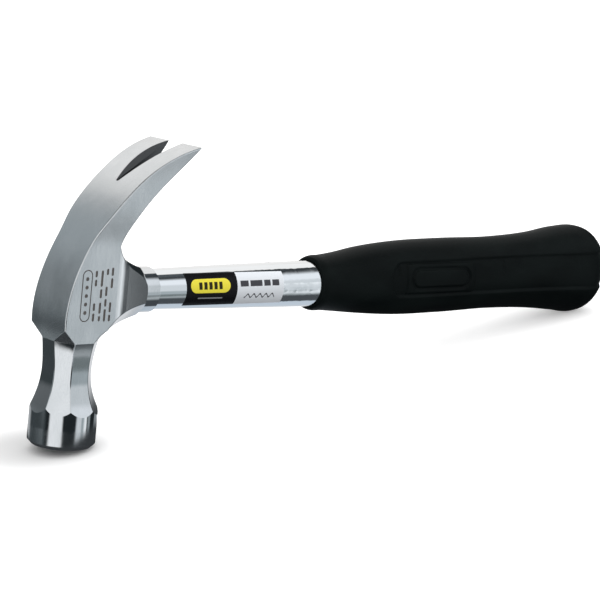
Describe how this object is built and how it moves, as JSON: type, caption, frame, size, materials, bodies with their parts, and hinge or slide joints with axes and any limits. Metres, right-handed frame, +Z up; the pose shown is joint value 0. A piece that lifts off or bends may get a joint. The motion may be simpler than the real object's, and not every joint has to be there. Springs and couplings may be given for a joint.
{
  "type": "claw hammer",
  "caption": "Carpenter's claw hammer: forged steel head with a round striking face, octagonal neck and split curved claws on a tapered steel tube shaft with a flared black rubber grip.",
  "frame": {"origin": "on the floor under the middle of the whole hammer, as it stands on the heel of its striking face and the underside of its butt", "axes": "+X along the hammer from the head to the butt, +Z up through the claws, +Y across the claws"},
  "size_m": [0.3394, 0.036, 0.1205],
  "materials": {
    "head_steel": "ground and polished forging, clear lacquered, faint belt-grinding lines along the facets",
    "shaft_chrome": "bright chrome plate on drawn steel tube",
    "dowel_wood": "bare turned hardwood",
    "wedge_steel": "plain mild steel",
    "stopper_plastic": "moulded black polypropylene",
    "grip_rubber": "moulded black vinyl rubber with a soft sheen",
    "label_dark": "printed gloss film",
    "label_light": "printed gloss film"
  },
  "bodies": {
    "root": {"head": "head_steel", "shaft_tube": "shaft_chrome", "core_dowel": "dowel_wood", "locking_wedge": "wedge_steel", "end_stopper": "stopper_plastic", "grip": "grip_rubber", "label_dark": "label_dark", "label_light": "label_light"}
  },
  "joints": []
}
